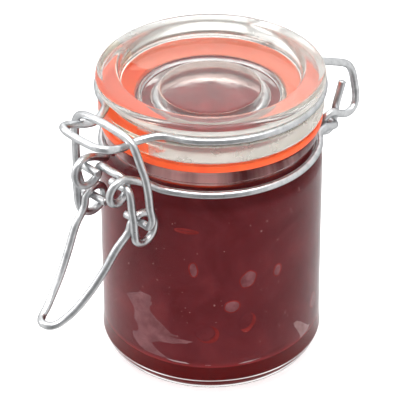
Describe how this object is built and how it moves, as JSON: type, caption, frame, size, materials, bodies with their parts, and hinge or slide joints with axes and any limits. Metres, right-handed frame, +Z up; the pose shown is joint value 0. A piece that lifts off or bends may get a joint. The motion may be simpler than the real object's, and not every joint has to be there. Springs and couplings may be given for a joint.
{
  "type": "terrine jar",
  "caption": "Small clip-top glass jar, shut and full of red jam: thick glass lid, rubber ring, and a wire clasp with an over-centre lever and link",
  "frame": {"origin": "the middle of the jar's base, on the jar's upright axis", "axes": "+Z up; -Y towards the clasp and +Y towards the hinge; +X to the right as seen facing the clasp from in front"},
  "size_m": [0.0586, 0.0987, 0.0817],
  "materials": {
    "clear_glass": "smooth and clear",
    "red_jam": "glossy and wet",
    "orange_rubber": "soft and slightly glossy",
    "zinc_wire": "bright zinc-coated steel wire"
  },
  "bodies": {
    "jar_body": {"jar": "clear_glass", "jam": "red_jam", "rubber_ring": "orange_rubber", "lid": "clear_glass", "neck_wire": "zinc_wire", "lid_wire": "zinc_wire"},
    "lever": {"lever": "zinc_wire"},
    "link": {"link": "zinc_wire"}
  },
  "joints": [
    {"name": "lever_pivot", "type": "hinge", "parent": "jar_body", "child": "lever", "pos_m": [0, -0.0364, 0.0651], "axis": [-1, 0, 0], "range_deg": [0, 100]},
    {"name": "link_pivot", "type": "hinge", "parent": "lever", "child": "link", "pos_m": [0, -0.03295, 0.05458], "axis": [-1, 0, 0], "range_deg": [-59, 4]}
  ],
  "couplings": [
    {"joint": "link_pivot", "follows": "lever_pivot", "ratio": -0.54}
  ]
}
